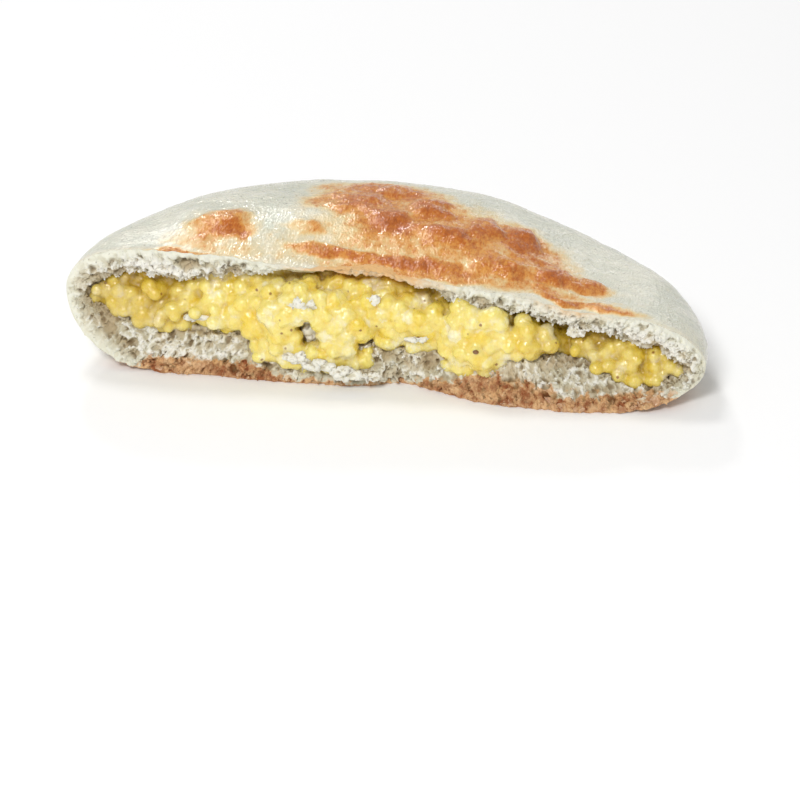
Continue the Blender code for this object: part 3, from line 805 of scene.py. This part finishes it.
def skinPaint():
    paint = Paint(
        "griddled skin", Specular_IOR_Level=0.7, Specular_Tint=(1, 1, 0.98, 1), Subsurface_Weight=0.15,
        Subsurface_Scale=0.001, Subsurface_Radius=(1, 0.8, 0.5),
    )
    browned, under, rim = paint.layer("browned"), paint.layer("under"), paint.layer("rim")
    colour = paint.mix(paint.noise(9, 4).ranged(0.35, 0.65), tone(211, 212, 194), tone(228, 226, 208))
    colour = paint.mix(paint.noise(2.2, 4).ranged(0.45, 0.7) * 0.5, colour, tone(234, 230, 212))
    colour = paint.mix(rim * 0.6, colour, tone(240, 230, 204))
    drawn = paint.stretched(1.0, 0.45, 1.0)
    flecks = paint.noise(0.6, 3, 0.6, drawn).ranged(0.62, 0.74)
    colour = paint.mix(flecks * paint.noise(4, 3).ranged(0.35, 0.6) * 0.8, colour, tone(104, 104, 80))
    fine = paint.noise(0.36, 2, 0.5, drawn).ranged(0.62, 0.74)
    colour = paint.mix(fine * 0.45, colour, tone(140, 128, 96))
    uneven = paint.noise(2.4, 5, 0.7, drawn) - 0.5
    # browned holds the browning and, on each patch's right front, painted shade
    edge = browned + uneven * 0.9
    colour = paint.mix((browned + uneven * 0.45).ranged(0.04, 0.4) * 0.8, colour, tone(238, 206, 138))
    colour = paint.mix(edge.ranged(0.26, 0.6) * 0.9, colour, tone(223, 150, 54))
    mottle = edge + (paint.noise(0.6, 4, 0.75, drawn) - 0.5) * 1.2
    colour = paint.mix(mottle.ranged(0.4, 1.0), colour, tone(189, 101, 20))
    colour = paint.mix(mottle.ranged(0.9, 1.4) * 0.7, colour, tone(136, 62, 16))
    scorched = (under + (paint.noise(5, 5, 0.65) - 0.5) * 1.2).ranged(0.35, 0.8)
    colour = paint.mix(scorched * 0.8, colour, tone(206, 152, 100))
    charred = scorched * paint.noise(1.8, 5, 0.7).ranged(0.45, 0.65)
    colour = paint.mix(charred * 0.7, colour, tone(160, 98, 56))
    rough = 0.26 - 0.08 * paint.noise(2.6, 3).ranged(0.35, 0.6)
    wrinkles, bubbles = paint.noise(1.0, 3, 0.6, drawn), paint.noise(0.36, 1, 0.5, drawn)
    return paint.finish(colour, rough, ((0.13, wrinkles), (0.08, paint.noise(2.2, 3)), (0.15, bubbles)))


def crumbPaint():
    paint = Paint(
        "torn barley crumb", Subsurface_Weight=0.12, Subsurface_Scale=0.0008, Subsurface_Radius=(1, 0.9, 0.7),
    )
    poreShade, crestLight, browned = paint.layer("poreShade"), paint.layer("crestLight"), paint.layer("browned")
    rim, golden = paint.layer("rim"), paint.layer("golden")
    colour = paint.mix(paint.noise(5, 4).ranged(0.38, 0.62), tone(240, 234, 214), tone(222, 222, 202))
    # painted shade in hollows, then painted highlight on crests
    colour = paint.mix((1 - crestLight) * 0.7, colour, tone(172, 144, 92))
    colour = paint.mix(crestLight.ranged(0.45, 0.85) * 0.8, colour, tone(252, 249, 240))
    colour = paint.mix(rim * 0.8, colour, tone(236, 235, 216))
    gilded = (golden + (paint.noise(1.2, 4, 0.65) - 0.5) * 0.6).ranged(0.1, 0.8) * golden.ranged(0.0, 0.3)
    colour = paint.mix(gilded, colour, tone(234, 186, 124))
    flecks = paint.noise(0.7, 2).ranged(0.66, 0.74)
    colour = paint.mix(flecks * 0.5, colour, tone(130, 116, 82))
    toast = (browned + (paint.noise(0.7, 5, 0.7) - 0.5) * 0.9).kept()
    colour = paint.mix(toast.ranged(0.2, 0.8) * 0.85, colour, tone(228, 178, 118))
    # darker scorched patches, darker still in hollows: the scorching is the crumb's own colour, the extra in
    # hollows is painted shade
    dark = toast.ranged(0.4, 1.0) * (1.25 - crestLight) * paint.noise(2.0, 5, 0.7).ranged(0.36, 0.6)
    colour = paint.mix(dark.kept(), colour, tone(156, 90, 48))
    # painted shade in pores: pits and small pricks darkened
    pricks = paint.cells(0.8)
    pricks = pricks.ranged(0.34, 0.16) * paint.noise(1.8, 2).ranged(0.45, 0.6) * (1 - rim)
    colour = paint.mix((poreShade * 0.7 + pricks * 0.45).kept(), colour, tone(112, 86, 44))
    rough = 0.8 - 0.1 * paint.noise(1.5, 2)
    return paint.finish(colour, rough, ((0.22, paint.noise(0.45, 4, 0.7)),))


def milletPaint():
    paint = Paint(
        "sticky millet", Specular_IOR_Level=0.8, Subsurface_Weight=0.6, Subsurface_Scale=0.002,
        Subsurface_Radius=(1, 1, 0.3), Coat_Weight=0.4, Coat_Roughness=0.1,
    )
    tint, deep, seed = paint.layer("tint"), paint.layer("deep"), paint.layer("seed")
    shade = (tint * 0.35 + paint.noise(3.5, 4, 0.6) * 1.3 - 0.3).kept()
    colour = paint.mix(shade.ranged(0.2, 0.6), tone(239, 209, 74), tone(243, 224, 128))
    colour = paint.mix(shade.ranged(0.55, 0.85) * 0.85, colour, tone(250, 241, 206))
    # painted shade in crevices, deep in the pocket and at both ends
    colour = paint.mix(deep.kept() * 0.9, colour, tone(190, 154, 26))
    dots = paint.cells(3.2)
    colour = paint.mix(dots.ranged(0.115, 0.05) * 0.85, colour, tone(140, 88, 34))
    colour = paint.mix(seed, colour, tone(126, 84, 40))
    rough = 0.28 - 0.2 * paint.noise(0.6, 2, 0.6).ranged(0.4, 0.6)
    return paint.finish(colour, rough, ((0.2, paint.noise(0.8, 3, 0.6)), (0.1, paint.noise(0.35, 2))))


noise.seed_set(5)
makeCrust(skinPaint())
makeCrumb(crumbPaint())
makeMillet(milletPaint())


# Floor, light and camera
studio = {
    "azimuth": 10.0,
    "elevation": 25.0,
    "distance": 600.0,
    "pixel": 0.1726,  # millimetres at the loaf's middle
    "frame": 800,  # pixels each way
    "aim": (382, 333),  # where the loaf's middle falls in the frame
    "middle": 10.0,
    "world": 0.46,
    "lamps": (  # name, place in metres, size, power
        ("key", (-0.3, 0.3, 0.85), 0.24, 1.9), ("front", (-0.1, -0.78, 0.64), 0.26, 5.0),
        ("glint", (-0.34, 0.76, 0.5), 0.08, 1.05), ("rear", (0.08, 0.95, 0.2), 0.14, 0.13),
    ),
}


def flatPaint(name, colour):
    paint = Paint(name, Roughness=0.9)
    paint.shader.inputs["Base Color"].default_value = colour
    return paint.material


def makeFloor():
    bm = bmesh.new()
    bmesh.ops.create_grid(bm, x_segments=1, y_segments=1, size=4.0)
    mesh = bpy.data.meshes.new("floor")
    bm.to_mesh(mesh)
    bm.free()
    mesh.materials.append(flatPaint("pale floor", (1, 1, 1, 1)))
    floor = bpy.data.objects.new("floor", mesh)
    bpy.context.scene.collection.objects.link(floor)


def makeLamp(name, place, size, power):
    data = bpy.data.lights.new(name, "AREA")
    data.shape = "DISK"
    data.size = size
    data.energy = power
    lamp = bpy.data.objects.new(name, data)
    lamp.location = place
    lamp.rotation_euler = (Vector((0, 0, 0.01)) - Vector(place)).to_track_quat("-Z", "Y").to_euler()
    bpy.context.scene.collection.objects.link(lamp)


def makeCamera():
    turn, rise = math.radians(studio["azimuth"]), math.radians(studio["elevation"])
    ahead = -Vector((math.sin(turn) * math.cos(rise), -math.cos(turn) * math.cos(rise), math.sin(rise)))
    right = Vector((math.cos(turn), math.sin(turn), 0))
    up = right.cross(ahead)
    pixel = studio["pixel"] * mm
    aimX, aimY = studio["aim"]
    target = Vector((0, loaf["tearY"] * mm, studio["middle"] * mm))
    middle = studio["frame"] / 2
    target += right * (middle - aimX) * pixel - up * (middle - aimY) * pixel
    data = bpy.data.cameras.new("camera")
    data.sensor_width = 36
    data.lens = data.sensor_width * studio["distance"] / (studio["pixel"] * studio["frame"])
    data.clip_start = 0.01
    camera = bpy.data.objects.new("camera", data)
    camera.location = target - ahead * studio["distance"] * mm
    camera.rotation_euler = ahead.to_track_quat("-Z", "Y").to_euler()
    bpy.context.scene.collection.objects.link(camera)
    bpy.context.scene.camera = camera


def makeWorld():
    world = bpy.data.worlds.new("studio")
    world.use_nodes = True
    background = world.node_tree.nodes["Background"]
    background.inputs["Color"].default_value = (1, 1, 1, 1)
    background.inputs["Strength"].default_value = studio["world"]
    bpy.context.scene.world = world


makeFloor()
for lamp in studio["lamps"]:
    makeLamp(*lamp)
makeCamera()
makeWorld()
bpy.context.scene.view_settings.view_transform = "Standard"
